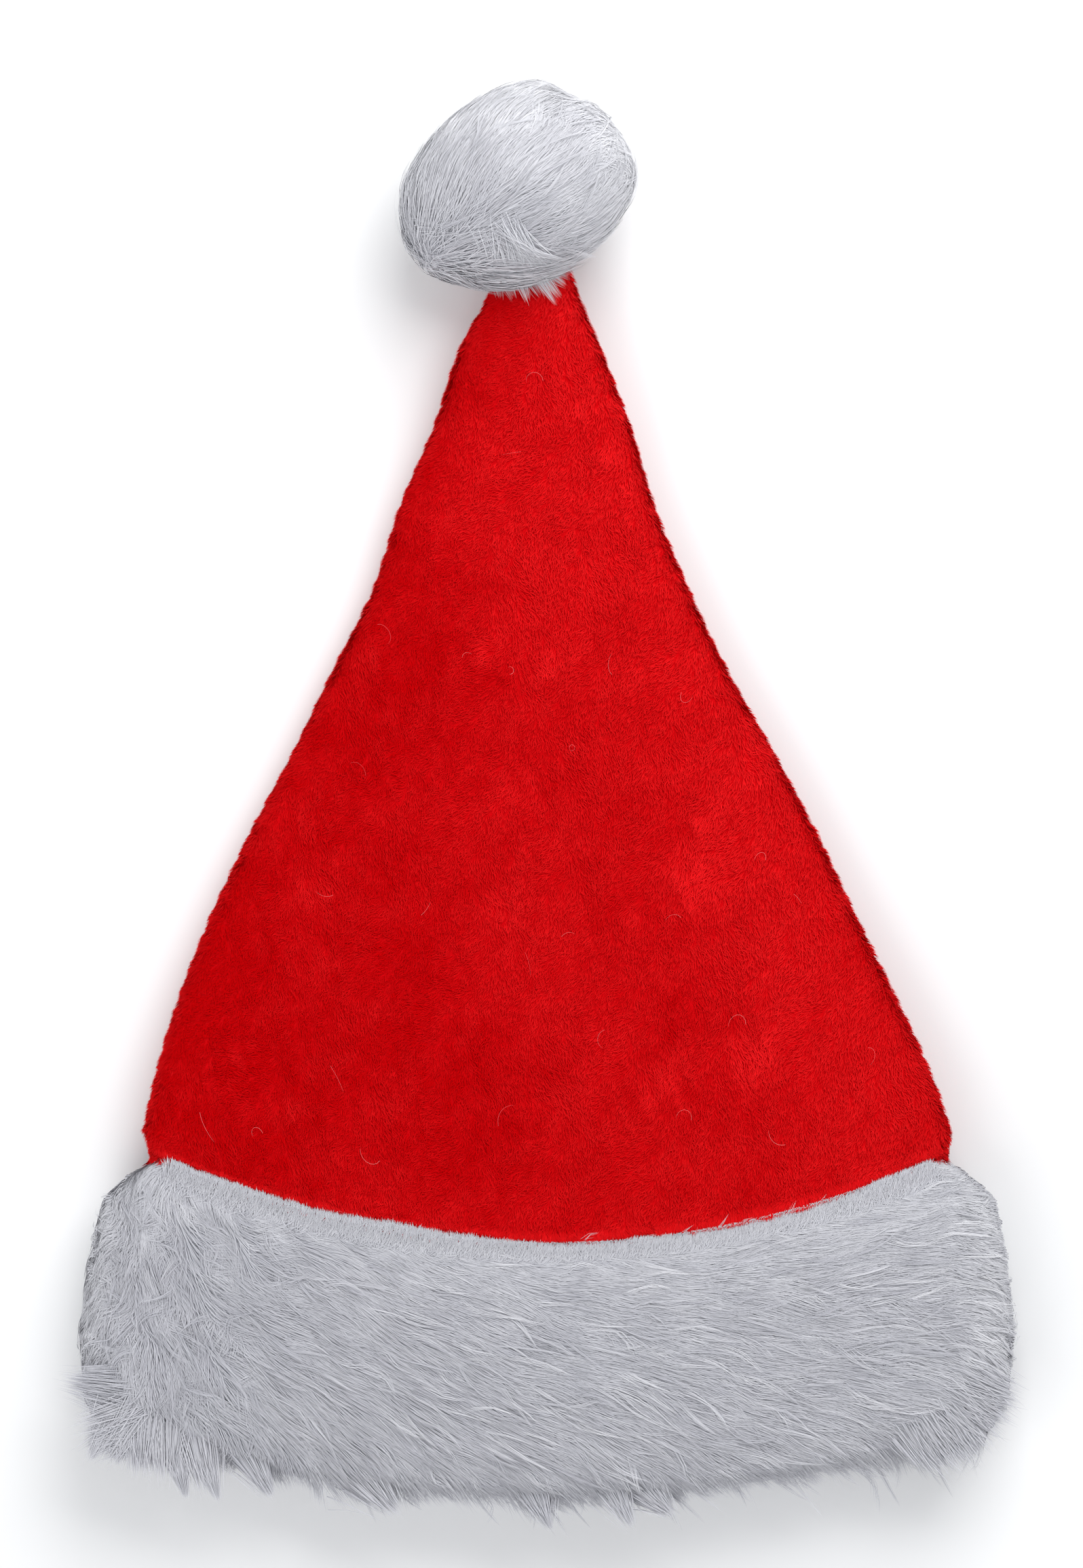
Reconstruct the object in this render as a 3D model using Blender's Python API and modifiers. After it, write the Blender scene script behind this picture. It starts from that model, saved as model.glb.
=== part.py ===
"""A plush Santa hat, lying flat as it does on a table.

The crown is a hollow, flattened cone of red plush. A band of long white fur is sewn round its mouth as a cuff,
and a fur pompom to its tip. X runs across the hat, Y from the mouth to the tip and Z up. The origin is on the
floor, under the middle of its outline. Sizes are in metres.
"""

import math
import random
from collections import namedtuple

import bmesh
import bpy
from mathutils import Matrix, Vector

# Moves the hat so that the middle of its outline, locks and all, is over the origin
TO_MIDDLE = Vector((-0.0004, -0.0015, 0.0))

# Cloth and seams
PLUSH = 0.003  # wall of the crown, backing and pile
BACKING = 0.0017  # wall of the cuff's backing where it is sewn inside the crown
SEAM_GAP = 0.0003  # between pieces that are sewn together
SEAM_LAP = 0.09  # how far the cuff's backing reaches into the crown, as a share of the cuff's height
FOLD_RADIUS = 0.0027  # inside of the sharp fold along each side of the hat
TABLE_GAP = 0.0008  # about how far the locks stay off the table

# Points round a section: along the front and the back, and round each folded edge
POINTS_ACROSS = 16
POINTS_ROUND_EDGE = 3

# A section is an arc across the flattened hat. edge_y is where it meets the side folds, and sag how far its
# middle bows towards the mouth. half_width is to the outside of the plush. half_gap is half the hollow at its
# thickest.
Section = namedtuple("Section", "edge_y sag centre_x half_width half_gap mid_z")
CROWN_SECTIONS = (
    Section(-0.1167, 0.0266, 0.0015, 0.1350, 0.0110, 0.0208),
    Section(-0.0894, 0.0240, -0.0003, 0.1274, 0.0103, 0.0185),
    Section(-0.0628, 0.0214, -0.0023, 0.1174, 0.0093, 0.0159),
    Section(-0.0362, 0.0188, -0.0036, 0.1056, 0.0086, 0.0140),
    Section(-0.0095, 0.0162, -0.0036, 0.0930, 0.0082, 0.0128),
    Section(0.0171, 0.0136, -0.0036, 0.0788, 0.0081, 0.0123),
    Section(0.0438, 0.0110, -0.0047, 0.0648, 0.0079, 0.0121),
    Section(0.0704, 0.0084, -0.0044, 0.0518, 0.0074, 0.0122),
    Section(0.0970, 0.0060, -0.0056, 0.0420, 0.0062, 0.0127),
    Section(0.1237, 0.0038, -0.0040, 0.0322, 0.0048, 0.0150),
    Section(0.1503, 0.0020, -0.0046, 0.0226, 0.0036, 0.0190),
    Section(0.1681, 0.0008, -0.0034, 0.0142, 0.0032, 0.0228),
    Section(0.1811, 0.0000, -0.0030, 0.0108, 0.0028, 0.0255),
)
MOUTH = Section(-0.2049, 0.0185, 0.0005, 0.1420, 0.0116, 0.0210)

# The soft waves of the crown's cloth, as it settles on a table
Wave = namedtuple("Wave", "height length heading phase")
CROWN_WAVES = (
    Wave(0.0009, 0.115, 20.0, 0.6),
    Wave(0.0007, 0.074, 105.0, 2.1),
    Wave(0.0005, 0.047, 65.0, 4.0),
)

# The cuff's dense underfur. along runs from 0 at the crown to 1 at the mouth. front, side and back are how far
# the fur stands from the hollow there. The back is pressed flat by the floor.
Pile = namedtuple("Pile", "along front side back")
CUFF_PILE = (
    Pile(0.010, 0.0034, 0.0034, 0.0034),
    Pile(0.050, 0.0076, 0.0066, 0.0090),
    Pile(0.160, 0.0112, 0.0104, 0.0180),
    Pile(0.380, 0.0130, 0.0134, 0.0190),
    Pile(0.640, 0.0128, 0.0150, 0.0190),
    Pile(0.870, 0.0106, 0.0128, 0.0140),
    Pile(0.985, 0.0064, 0.0078, 0.0082),
    Pile(1.040, 0.0016, 0.0016, 0.0050),
)

# Locks of fur in rows round the cuff. pitch is from lock to lock. rise is how far a lock's tip is lifted off
# the underfur. lean is how steeply it runs towards the mouth, in degrees.
LockRow = namedtuple("LockRow", "along pitch length width rise lean")
CUFF_LOCKS = (
    LockRow(0.08, 0.021, 0.034, 0.0140, 0.0006, 18.0),
    LockRow(0.26, 0.021, 0.036, 0.0150, 0.0018, 22.0),
    LockRow(0.44, 0.021, 0.036, 0.0150, 0.0022, 26.0),
    LockRow(0.62, 0.020, 0.034, 0.0145, 0.0022, 34.0),
    LockRow(0.79, 0.018, 0.030, 0.0130, 0.0016, 46.0),
    LockRow(0.92, 0.015, 0.020, 0.0110, 0.0006, 62.0),
)
CUFF_HEIGHT = 0.085
CUFF_SEED = 20
UNDERSIDE = 0.007  # locks whose roots lie lower are pressed flat, but for the row along the mouth
LOCK_DEPTH = 0.0016  # how far a lock's root is sunk in the underfur
LOCK_SPREAD = 0.30  # how much length, width and place vary from lock to lock

# A lock's shape: its share of the full width at each share of its length. It ends in a point.
LockShape = namedtuple("LockShape", "share width lift")
LOCK_SHAPE = (
    LockShape(0.00, 0.62, -0.4),
    LockShape(0.32, 1.00, 0.4),
    LockShape(0.68, 0.70, 0.9),
    LockShape(1.00, 0.00, 1.0),
)
LOCK_RIDGE = 0.25  # how far a lock's ridge stands over its path, as a share of its width
LOCK_BODY = 0.42  # how far its sides reach under its path

# The pompom: a fur ball, pressed a little by the table
POMPOM_CENTRE = Vector((-0.0085, 0.2030, 0.0302))
POMPOM_RADII = Vector((0.0354, 0.0305, 0.0315))
POMPOM_TILT = math.radians(24)
POMPOM_PRESSED = -0.62  # below this share of its radius the table presses its fur flat
POMPOM_SEATED = -0.80  # and nearer to the crown than this share the seat is left free
POMPOM_LOCKS = 84
POMPOM_SEED = 12
POMPOM_LOCK = LockRow(0.0, 0.0, 0.026, 0.0130, 0.0036, 0.0)
POMPOM_COMB = Vector((0.75, 0.50, -0.20))  # the way its fur is stroked

RED = (0.62, 0.010, 0.014, 1.0)
WHITE = (0.80, 0.80, 0.83, 1.0)


def between(first, second, share):
    """A row that lies this share of the way from the first to the second, column by column."""
    return type(first)(*(a + (b - a) * share for a, b in zip(first, second)))


def cuff_section(along):
    """The hat's section in the cuff, from 0 at the crown to 1 at the mouth. Below 0 it lies in the crown and
    follows the crown's taper."""
    first, second = CROWN_SECTIONS[:2]
    if along < 0:
        return between(first, second, -along * CUFF_HEIGHT / (second.edge_y - first.edge_y))
    return between(first, MOUTH, along)


def around(section, position):
    """A point on the hollow and the way out of it there. position is 0 to 1 along the front from right to left,
    1 to 2 round the left fold, 2 to 3 along the back to the right, and 3 to 4 round the right fold."""
    part, share = divmod(position % 4, 1)
    reach = section.half_width - PLUSH - FOLD_RADIUS
    if part in (0, 2):
        face = 1 - part
        u = face * (1 - 2 * share)
        bulge = section.half_gap - FOLD_RADIUS
        x, z = u * reach, face * (FOLD_RADIUS + bulge * (1 - u * u))
        out = Vector((2 * u * bulge / reach, 0, face))
    else:
        u = part - 2
        angle = math.pi * (share + part / 2)
        out = Vector((math.cos(angle), 0, math.sin(angle)))
        x, z = u * reach + out.x * FOLD_RADIUS, out.z * FOLD_RADIUS
    y = section.edge_y - section.sag * (1 - u * u)
    return Vector((section.centre_x + x, y, section.mid_z + z)), out.normalized()


def positions_round():
    """The positions of the points round a section, evenly in each of its four parts."""
    found = []
    for part, count in enumerate((POINTS_ACROSS, POINTS_ROUND_EDGE) * 2):
        found += [part + i / count for i in range(count)]
    return found


def wave_height(x, y):
    """How far the front of the crown is lifted at a place by its soft waves."""
    total = 0.0
    for wave in CROWN_WAVES:
        heading = math.radians(wave.heading)
        travel = x * math.cos(heading) + y * math.sin(heading)
        total += wave.height * math.sin(math.tau * travel / wave.length + wave.phase)
    return total


def material(name, colour, roughness):
    """A cloth finish: a soft, rough surface with a little sheen."""
    made = bpy.data.materials.new(name)
    made.use_nodes = True
    shader = made.node_tree.nodes["Principled BSDF"]
    shader.inputs["Base Color"].default_value = colour
    shader.inputs["Roughness"].default_value = roughness
    shader.inputs["Metallic"].default_value = 0.0
    shader.inputs["Sheen Weight"].default_value = 0.3
    return made


def new_object(name, bm, collection, finish=None):
    """An object from a bmesh, in a collection. With no finish it is a cutter or a shape to join to another."""
    bmesh.ops.translate(bm, vec=TO_MIDDLE, verts=bm.verts)
    bmesh.ops.recalc_face_normals(bm, faces=bm.faces)
    if bm.calc_volume(signed=True) < 0:
        bmesh.ops.reverse_faces(bm, faces=bm.faces)
    mesh = bpy.data.meshes.new(name)
    bm.to_mesh(mesh)
    bm.free()
    made = bpy.data.objects.new(name, mesh)
    collection.objects.link(made)
    if finish:
        mesh.materials.append(finish)
    else:
        made.hide_render = True
        made.display_type = "WIRE"
    return made


def bridge(bm, rings, closed):
    """Faces between rings of vertices, each to the next, and from the last back to the first if closed."""
    pairs = list(zip(rings, rings[1:] + rings[:1])) if closed else list(zip(rings, rings[1:]))
    for low, high in pairs:
        count = len(low)
        for i in range(count):
            j = (i + 1) % count
            bm.faces.new((low[i], low[j], high[j], high[i]))


def boolean(target, other, operation):
    """Joins another shape to the target, or cuts it away."""
    modifier = target.modifiers.new(f"{operation.lower()} {other.name}", "BOOLEAN")
    modifier.operation = operation
    modifier.object = other
    modifier.solver = "EXACT"
    modifier.use_self = True


def crown_rings(bm, sections, offset):
    """A ring of vertices for each section, this far outside the hollow."""
    rings = []
    for section in sections:
        ring = []
        for position in positions_round():
            place, out = around(section, position)
            # The side folds and the seam at the cuff hold the cloth, so the waves fade out there.
            u = (place.x - section.centre_x) / section.half_width
            hold = max(0.0, 1 - u * u) * min(1.0, (section.edge_y - CROWN_SECTIONS[0].edge_y) / 0.05)
            if out.z > 0:
                place.z += hold * wave_height(place.x, place.y)
            ring.append(bm.verts.new(place + out * offset))
        rings.append(ring)
    return rings


def make_crown(collection, finish):
    """The plush cone: the surface of its hollow, thickened outwards and closed at the tip."""
    bm = bmesh.new()
    rings = crown_rings(bm, CROWN_SECTIONS, 0.0)
    bridge(bm, rings, closed=False)
    bm.faces.new(reversed(rings[-1]))
    crown = new_object("crown", bm, collection, finish)
    wall = crown.modifiers.new("plush", "SOLIDIFY")
    wall.thickness = PLUSH
    wall.offset = 1.0
    return crown


def off_table(place, chance):
    """The place, or one just over the table if it would lie lower."""
    return Vector((place.x, place.y, max(place.z, TABLE_GAP * chance.uniform(0.5, 1.5))))


def add_lock(bm, path, width, chance):
    """A lock of fur: a tapering ridge along a path, which is a place and the way out of the fur for each row of
    LOCK_SHAPE. It ends in a tip."""
    rings = []
    for i, (shape, (place, out)) in enumerate(zip(LOCK_SHAPE, path)):
        if shape.width == 0:
            tip = bm.verts.new(off_table(place, chance))
            break
        side = out.cross(path[i + 1][0] - place).normalized()
        wide = width * shape.width
        under = place - out * wide * LOCK_BODY
        corners = (under - side * wide / 2, under + side * wide / 2, place + out * wide * LOCK_RIDGE)
        rings.append([bm.verts.new(off_table(corner, chance)) for corner in corners])
    bridge(bm, rings, closed=False)
    bm.faces.new(reversed(rings[0]))
    for i in range(3):
        bm.faces.new((rings[-1][i], rings[-1][(i + 1) % 3], tip))


def varied(lock, chance):
    """A lock of the same kind with a length, a width and a lean of its own."""
    return lock._replace(
        length=lock.length * chance.uniform(1 - LOCK_SPREAD, 1 + LOCK_SPREAD * 0.4),
        width=lock.width * chance.uniform(1 - LOCK_SPREAD, 1 + LOCK_SPREAD),
        lean=lock.lean + chance.uniform(-14, 14),
    )


def pile_at(along):
    """The underfur at this share of the cuff's height."""
    rows = [row for row in CUFF_PILE if row.along <= along] or [CUFF_PILE[0]]
    low = rows[-1]
    high = CUFF_PILE[min(CUFF_PILE.index(low) + 1, len(CUFF_PILE) - 1)]
    span = high.along - low.along
    return between(low, high, (along - low.along) / span if span else 0.0)


def pile_offset(pile, out):
    """How far the underfur stands from the hollow where the surface faces this way."""
    facing = pile.front if out.z > 0 else pile.back
    return pile.side + (facing - pile.side) * abs(out.z) ** 0.5


def make_cuff(collection, cutters, finish):
    """The fur band: its backing reaches into the crown, and the underfur outside it carries rows of locks."""
    bm = bmesh.new()
    hidden = -SEAM_GAP - BACKING
    lap = [(-SEAM_LAP, hidden), (0.45, hidden), (1.03, hidden)]
    outside = [(pile.along, pile) for pile in reversed(CUFF_PILE)]
    seam = [(CUFF_PILE[0].along, -SEAM_GAP), (-SEAM_LAP, -SEAM_GAP)]
    rings = []
    for along, stand in lap + outside + seam:
        ring = []
        for position in positions_round():
            place, out = around(cuff_section(along), position)
            place += out * (pile_offset(stand, out) if isinstance(stand, Pile) else stand)
            place.z = max(place.z, 0.0)
            ring.append(bm.verts.new(place))
        rings.append(ring)
    bridge(bm, rings, closed=True)
    cuff = new_object("cuff", bm, collection, finish)
    boolean(cuff, make_cuff_locks(cutters), "UNION")
    return cuff


def fur_parts(section):
    """The length of each of the four parts of the way round the underfur's outside."""
    across = 2 * (section.half_width - PLUSH - FOLD_RADIUS)
    fold = math.pi * (FOLD_RADIUS + CUFF_PILE[3].side)
    return across, fold, across, fold


def on_fur(along, distance, lift):
    """A place over the underfur at a distance round the cuff, lifted off it, and the way out of the fur there."""
    section = cuff_section(along)
    parts = fur_parts(section)
    left = distance % sum(parts)
    part = 0
    while left > parts[part]:
        left -= parts[part]
        part += 1
    place, out = around(section, part + left / parts[part])
    return place + out * (pile_offset(pile_at(along), out) + lift), out


def make_cuff_locks(cutters):
    """Rows of locks round the band. They run round it, and more and more towards the mouth."""
    chance = random.Random(CUFF_SEED)
    bm = bmesh.new()
    for row in CUFF_LOCKS:
        girth = sum(fur_parts(cuff_section(row.along)))
        count = round(girth / row.pitch)
        for i in range(count):
            start = girth * (i + chance.uniform(0.5 - LOCK_SPREAD, 0.5 + LOCK_SPREAD)) / count
            lock = varied(row, chance)
            along_step = lock.length * math.sin(math.radians(lock.lean)) / CUFF_HEIGHT
            round_step = lock.length * math.cos(math.radians(lock.lean))
            path = [
                on_fur(
                    lock.along + shape.share * along_step,
                    start - shape.share * round_step,
                    lock.rise * shape.lift - LOCK_DEPTH * (1 - shape.share),
                )
                for shape in LOCK_SHAPE
            ]
            if row is CUFF_LOCKS[-1] or min(place.z for place, out in path) > UNDERSIDE:
                add_lock(bm, path, lock.width, chance)
    return new_object("cuff_locks", bm, cutters)


def make_pompom(collection, cutters, finish):
    """The fur ball: a core with locks stroked over it, seated on the crown's tip."""
    chance = random.Random(POMPOM_SEED)
    bm = bmesh.new()
    bmesh.ops.create_icosphere(bm, subdivisions=3, radius=1.0)
    for vertex in bm.verts:
        vertex.co = pompom_point(vertex.co)
        vertex.co.z = max(vertex.co.z, 0.0)
    pompom = new_object("pompom", bm, collection, finish)

    bm = bmesh.new()
    golden = math.pi * (3 - math.sqrt(5))
    for i in range(POMPOM_LOCKS):
        height = 1 - 2 * (i + 0.5) / POMPOM_LOCKS
        flat = math.sqrt(1 - height * height)
        way_out = Vector((flat * math.cos(golden * i), flat * math.sin(golden * i), height))
        if height < POMPOM_PRESSED or way_out.y < POMPOM_SEATED:
            continue
        lock = varied(POMPOM_LOCK, chance)
        lean = Matrix.Rotation(math.radians(lock.lean), 3, way_out)
        axis = lean @ way_out.cross(POMPOM_COMB).normalized()
        path = []
        for shape in LOCK_SHAPE:
            turned = Matrix.Rotation(shape.share * lock.length / POMPOM_RADII.x, 3, axis) @ way_out
            lift = lock.rise * shape.lift - LOCK_DEPTH * (1 - shape.share)
            path.append((pompom_point(turned * (1 + lift / POMPOM_RADII.x)), turned))
        add_lock(bm, path, lock.width, chance)
    boolean(pompom, new_object("pompom_locks", bm, cutters), "UNION")

    # The seat round the crown's tip
    bm = bmesh.new()
    last = CROWN_SECTIONS[-1]
    end = last._replace(edge_y=last.edge_y + PLUSH + SEAM_GAP)
    crown_rings(bm, [*CROWN_SECTIONS[-3:], end], PLUSH + SEAM_GAP)
    hull = bmesh.ops.convex_hull(bm, input=bm.verts)
    bmesh.ops.delete(bm, geom=hull["geom_interior"], context="VERTS")
    boolean(pompom, new_object("crown_tip_seat", bm, cutters), "DIFFERENCE")
    return pompom


def pompom_point(way_out):
    """Where this way out of the middle meets the pompom's core."""
    x, y, z = (way_out[i] * POMPOM_RADII[i] for i in range(3))
    c, s = math.cos(POMPOM_TILT), math.sin(POMPOM_TILT)
    return POMPOM_CENTRE + Vector((x * c - y * s, x * s + y * c, z))


def main():
    for old in list(bpy.data.objects):
        bpy.data.objects.remove(old)
    hat = bpy.data.collections.new("santa_hat")
    cutters = bpy.data.collections.new("cutters")
    for collection in (hat, cutters):
        bpy.context.scene.collection.children.link(collection)

    plush = material("red_plush", RED, 0.85)
    fur = material("white_fur", WHITE, 0.75)
    crown = make_crown(hat, plush)
    cuff = make_cuff(hat, cutters, fur)
    pompom = make_pompom(hat, cutters, fur)

    root = bpy.data.objects.new("hat", None)
    hat.objects.link(root)
    for piece in (crown, cuff, pompom):
        piece.parent = root
        piece.data.shade_smooth()
        piece.data.set_sharp_from_angle(angle=math.radians(50))


main()
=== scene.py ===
"""The looks of a plush Santa hat: red pile on its crown, long white fur on its cuff and pompom.

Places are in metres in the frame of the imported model, with the hat's tip at +Y and the table at Z = 0. Each
hair or blade of pile is a narrow ribbon that ends in a point.
"""

import math
from collections import namedtuple

import bpy
import numpy as np
from mathutils.kdtree import KDTree
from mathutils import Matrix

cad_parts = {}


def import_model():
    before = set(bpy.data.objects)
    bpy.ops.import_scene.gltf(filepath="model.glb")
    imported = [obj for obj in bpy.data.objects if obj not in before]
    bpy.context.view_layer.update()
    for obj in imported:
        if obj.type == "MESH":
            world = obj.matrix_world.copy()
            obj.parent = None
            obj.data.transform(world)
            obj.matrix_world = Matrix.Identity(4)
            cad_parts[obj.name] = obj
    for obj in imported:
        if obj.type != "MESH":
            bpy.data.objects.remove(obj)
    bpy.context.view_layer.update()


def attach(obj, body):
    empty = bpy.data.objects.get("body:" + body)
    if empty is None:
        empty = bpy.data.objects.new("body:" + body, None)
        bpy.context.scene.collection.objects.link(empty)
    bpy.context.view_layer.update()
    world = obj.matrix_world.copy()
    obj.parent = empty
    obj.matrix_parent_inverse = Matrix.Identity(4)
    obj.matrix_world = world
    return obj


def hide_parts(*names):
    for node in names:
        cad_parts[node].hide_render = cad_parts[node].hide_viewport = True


# The hat's form, as its solids have it
TO_MIDDLE = np.array((-0.0004, -0.0015, 0.0))
PLUSH = 0.003
FOLD_RADIUS = 0.0027
BACKING = 0.0017
SEAM_GAP = 0.0003

# How far the seam with the cuff draws in each side of the hat, and how far from it that reaches
HEM_PINCH, PINCH_REACH = 0.0048, 0.009

# The scallops that the stitches leave along the side folds
STITCH_DEPTH, STITCH_PITCH = 0.0003, 0.0078

# How far under the top of a coat its ground lies, and how deep its hairs and blades have their roots
GROUND_DEPTH, BALL_GROUND_DEPTH = 0.0009, 0.0008
FUR_ROOT_DEPTH, PILE_ROOT_DEPTH = 0.0012, 0.0011

# How far the ground of the fur stays above the table
CLEARANCE = 0.0004

# Steps that spread points evenly over a square
EVEN_STEPS = (0.7548776662, 0.5698402910)

# How steeply the fur that stands past the mouth droops
MOUTH_DROOP = 0.6

# How far the shading of a blade of pile or a hair follows the coat as a whole, from 0 to 1, and not its own
# small face
PILE_SOFTNESS, FUR_SOFTNESS = 0.90, 0.81

# How far the coat at the rim of the hat is lit from above, and how much paler its blades and hairs are
# painted there: painted light for the light that loose pile and hair let through
RIM_LIGHT = 1.2
RIM_PAINTED_LIGHT = 0.4

Section = namedtuple("Section", "edge_y sag centre_x half_width half_gap mid_z")
CROWN_SECTIONS = (
    Section(-0.1167, 0.0266, 0.0015, 0.1350, 0.0110, 0.0208),
    Section(-0.0894, 0.0240, -0.0003, 0.1274, 0.0103, 0.0185),
    Section(-0.0628, 0.0214, -0.0023, 0.1174, 0.0093, 0.0159),
    Section(-0.0362, 0.0188, -0.0036, 0.1056, 0.0086, 0.0140),
    Section(-0.0095, 0.0162, -0.0036, 0.0930, 0.0082, 0.0128),
    Section(0.0171, 0.0136, -0.0036, 0.0788, 0.0081, 0.0123),
    Section(0.0438, 0.0110, -0.0047, 0.0648, 0.0079, 0.0121),
    Section(0.0704, 0.0084, -0.0044, 0.0518, 0.0074, 0.0122),
    Section(0.0970, 0.0060, -0.0056, 0.0420, 0.0062, 0.0127),
    Section(0.1237, 0.0038, -0.0040, 0.0322, 0.0048, 0.0150),
    Section(0.1503, 0.0020, -0.0046, 0.0226, 0.0036, 0.0190),
    Section(0.1681, 0.0008, -0.0034, 0.0142, 0.0032, 0.0228),
    Section(0.1811, 0.0000, -0.0030, 0.0108, 0.0028, 0.0255),
)
MOUTH = Section(-0.2049, 0.0185, 0.0005, 0.1420, 0.0116, 0.0210)
HEM_Y = CROWN_SECTIONS[0].edge_y
TIP_Y = CROWN_SECTIONS[-1].edge_y
CUFF_HEIGHT = HEM_Y - MOUTH.edge_y

Wave = namedtuple("Wave", "height length heading phase")
CROWN_WAVES = (
    Wave(0.0009, 0.115, 20.0, 0.6),
    Wave(0.0007, 0.074, 105.0, 2.1),
    Wave(0.0005, 0.047, 65.0, 4.0),
)

Pile = namedtuple("Pile", "along front side back")
CUFF_PILE = (
    Pile(0.010, 0.0034, 0.0034, 0.0034),
    Pile(0.050, 0.0076, 0.0066, 0.0090),
    Pile(0.160, 0.0112, 0.0104, 0.0180),
    Pile(0.380, 0.0130, 0.0134, 0.0190),
    Pile(0.640, 0.0128, 0.0150, 0.0190),
    Pile(0.870, 0.0106, 0.0128, 0.0140),
    Pile(0.985, 0.0064, 0.0078, 0.0082),
    Pile(1.040, 0.0016, 0.0016, 0.0050),
)

POMPOM_CENTRE = np.array((-0.0085, 0.2030, 0.0302))
POMPOM_RADII = np.array((0.0354, 0.0305, 0.0315))
POMPOM_TILT = math.radians(24)

# The ball's outline from above, in the photograph: how far it reaches at an angle, as a share of its
# solid's reach
Outline = namedtuple("Outline", "angle reach")
BALL_OUTLINE = (
    Outline(0, 1.07), Outline(15, 1.03), Outline(30, 1.00), Outline(45, 0.99),
    Outline(60, 0.94), Outline(75, 1.03), Outline(90, 1.01), Outline(105, 0.98),
    Outline(120, 0.95), Outline(150, 0.96), Outline(165, 0.99), Outline(180, 1.06),
    Outline(195, 1.11), Outline(210, 1.18), Outline(225, 1.21), Outline(240, 1.12),
    Outline(255, 1.09), Outline(270, 1.07), Outline(300, 1.03), Outline(315, 1.05),
    Outline(345, 1.03),
)

# Which way the ball's hairs are swept, seen from above: 0 is to the right of the photograph and a right
# angle is up it. At its middle it is MIDDLE_SWEEP, and at its rim it goes by the angle of the place round
# the ball
Sweep = namedtuple("Sweep", "angle heading")
BALL_SWEEP = (
    Sweep(0, -48), Sweep(45, -18), Sweep(80, 20), Sweep(110, 62), Sweep(140, 52),
    Sweep(175, 42), Sweep(200, 18), Sweep(225, -12), Sweep(270, -32), Sweep(315, 8),
    Sweep(345, -30),
)
MIDDLE_SWEEP = 27

# Where the silky hair of the ball catches the light: places and sizes in the photograph
Patch = namedtuple("Patch", "x y size")
BALL_SHINE = (
    Patch(-0.0085, 0.2313, 0.0040),
    Patch(-0.0018, 0.2325, 0.0040),
    Patch(-0.0060, 0.2200, 0.0050),
    Patch(-0.0160, 0.2175, 0.0050),
    Patch(-0.0309, 0.2199, 0.0030),
    Patch(-0.0094, 0.2051, 0.0045),
    Patch(0.0008, 0.2004, 0.0040),
    Patch(0.0066, 0.1937, 0.0040),
    Patch(0.0101, 0.1878, 0.0030),
    Patch(0.0200, 0.2130, 0.0050),
)

# Where the nap of the plush parts and catches the light, in the same way
PARTINGS = (
    Patch(-0.0098, 0.0057, 0.0065),
    Patch(-0.0009, 0.0439, 0.0040),
    Patch(-0.0204, 0.0484, 0.0040),
    Patch(-0.0294, 0.0439, 0.0035),
    Patch(0.0505, -0.0272, 0.0090),
    Patch(0.0541, -0.0049, 0.0050),
    Patch(-0.0774, -0.0072, 0.0045),
    Patch(-0.0791, -0.0290, 0.0050),
    Patch(-0.0995, -0.0848, 0.0040),
    Patch(-0.0836, -0.0999, 0.0040),
    Patch(0.0391, -0.0938, 0.0090),
    Patch(0.0675, -0.0848, 0.0080),
    Patch(0.0106, 0.1282, 0.0035),
    Patch(0.0213, 0.1149, 0.0035),
    Patch(-0.0587, 0.0484, 0.0040),
    Patch(0.0274, -0.0377, 0.0040),
)

# The locks and lobes that stand out of the fur's outline in the photograph: where each ends, which way it
# points, from the right of the photograph round to its foot, how long it is, and how wide it is at its root
# and at its tip
Tuft = namedtuple("Tuft", "x y heading length root tip")
EDGE_TUFTS = (
    Tuft(-0.1545, -0.1905, 190.0, 0.022, 0.0044, 0.0026),
    Tuft(-0.1500, -0.2045, 165.0, 0.020, 0.0044, 0.0026),
    Tuft(-0.1488, -0.2110, 150.0, 0.022, 0.0044, 0.0022),
    Tuft(-0.1484, -0.2152, 118.0, 0.020, 0.0026, 0.0005),
    Tuft(-0.1440, -0.2132, 120.0, 0.022, 0.0044, 0.0024),
    Tuft(-0.1397, -0.2162, 100.0, 0.018, 0.0030, 0.0010),
    Tuft(-0.1325, -0.2186, 95.0, 0.020, 0.0040, 0.0022),
    Tuft(-0.1250, -0.2200, 88.0, 0.020, 0.0040, 0.0022),
    Tuft(-0.1177, -0.2275, 78.0, 0.024, 0.0030, 0.0005),
    Tuft(-0.1115, -0.2236, 76.0, 0.020, 0.0036, 0.0022),
    Tuft(-0.1071, -0.2284, 74.0, 0.024, 0.0030, 0.0005),
    Tuft(-0.0900, -0.2268, 60.0, 0.018, 0.0036, 0.0010),
    Tuft(-0.0495, -0.2322, 50.0, 0.018, 0.0044, 0.0016),
    Tuft(0.0014, -0.2378, 66.0, 0.022, 0.0044, 0.0006),
    Tuft(0.0277, -0.2366, 62.0, 0.022, 0.0040, 0.0009),
    Tuft(0.0404, -0.2330, 44.0, 0.016, 0.0044, 0.0012),
    Tuft(0.1515, -0.1950, 20.0, 0.018, 0.0044, 0.0026),
    Tuft(0.1488, -0.2015, 30.0, 0.018, 0.0044, 0.0026),
    Tuft(0.1453, -0.2063, 38.0, 0.020, 0.0044, 0.0026),
    Tuft(0.1423, -0.2110, 45.0, 0.022, 0.0044, 0.0026),
    Tuft(0.1378, -0.2145, 50.0, 0.022, 0.0044, 0.0026),
    Tuft(0.1323, -0.2164, 55.0, 0.022, 0.0044, 0.0026),
    Tuft(0.1258, -0.2158, 58.0, 0.020, 0.0044, 0.0026),
)

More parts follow.
